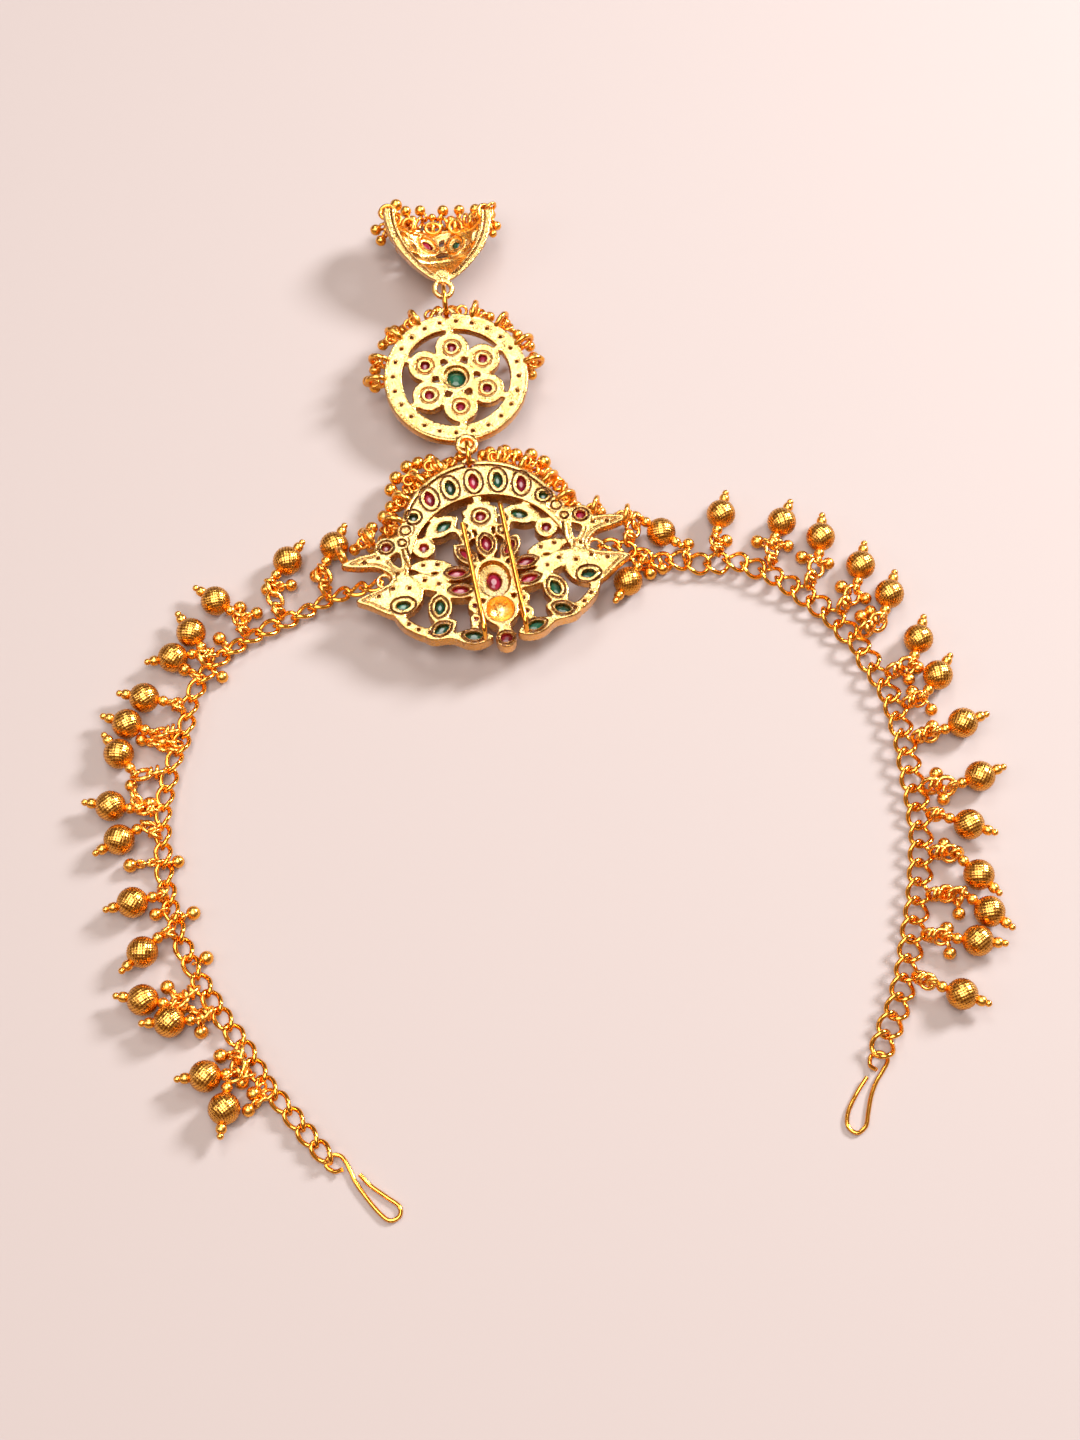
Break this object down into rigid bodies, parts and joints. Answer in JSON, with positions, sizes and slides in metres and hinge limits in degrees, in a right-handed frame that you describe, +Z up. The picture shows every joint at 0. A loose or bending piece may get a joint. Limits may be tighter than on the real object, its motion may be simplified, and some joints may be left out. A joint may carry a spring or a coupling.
{
  "type": "hair chain",
  "caption": "Bun and hair chain lying face down: openwork plaque with hair pins, disc and half bell linked in a row, and curb chains of bead drops that end in wire hooks.",
  "frame": {"origin": "middle of the bounding box, on the surface that the chain lies on", "axes": "+Z up, away from the surface; +Y along the row of plaque, disc and half bell, towards the bell; +X to the right"},
  "size_m": [0.1828, 0.2248, 0.0142],
  "materials": {
    "gold": "gold-plated casting and wire, polished, grainy in its recesses",
    "bead_gold": "gold-plated beads with a fine knurled surface",
    "ruby": "ruby coloured glass, polished",
    "emerald": "emerald coloured glass, polished"
  },
  "bodies": {
    "root": {"plaque": "gold", "disc": "gold", "bell": "gold", "link_bell": "gold", "link_disc": "gold", "chain_left": "gold", "chain_right": "gold", "hook_left": "gold", "hook_right": "gold", "fringe_arch_left": "gold", "fringe_arch_right": "gold", "fringe_disc_left": "gold", "fringe_disc_right": "gold", "fringe_bell": "gold", "drop_left_01": "bead_gold", "drop_left_02": "bead_gold", "drop_left_03": "bead_gold", "drop_left_04": "bead_gold", "drop_left_05": "bead_gold", "drop_left_06": "bead_gold", "drop_left_07": "bead_gold", "drop_left_08": "bead_gold", "drop_left_09": "bead_gold", "drop_left_10": "bead_gold", "drop_left_11": "bead_gold", "drop_left_12": "bead_gold", "drop_left_13": "bead_gold", "drop_left_14": "bead_gold", "drop_left_15": "bead_gold", "drop_left_16": "bead_gold", "drop_right_01": "bead_gold", "drop_right_02": "bead_gold", "drop_right_03": "bead_gold", "drop_right_04": "bead_gold", "drop_right_05": "bead_gold", "drop_right_06": "bead_gold", "drop_right_07": "bead_gold", "drop_right_08": "bead_gold", "drop_right_09": "bead_gold", "drop_right_10": "bead_gold", "drop_right_11": "bead_gold", "drop_right_12": "bead_gold", "drop_right_13": "bead_gold", "drop_right_14": "bead_gold", "drop_right_15": "bead_gold", "drop_right_16": "bead_gold", "arch_stone_01": "ruby", "arch_stone_03": "ruby", "arch_stone_05": "ruby", "centre_stone": "ruby", "arch_stone_02": "emerald", "arch_stone_04": "emerald", "disc_stone": "emerald"}
  },
  "joints": []
}
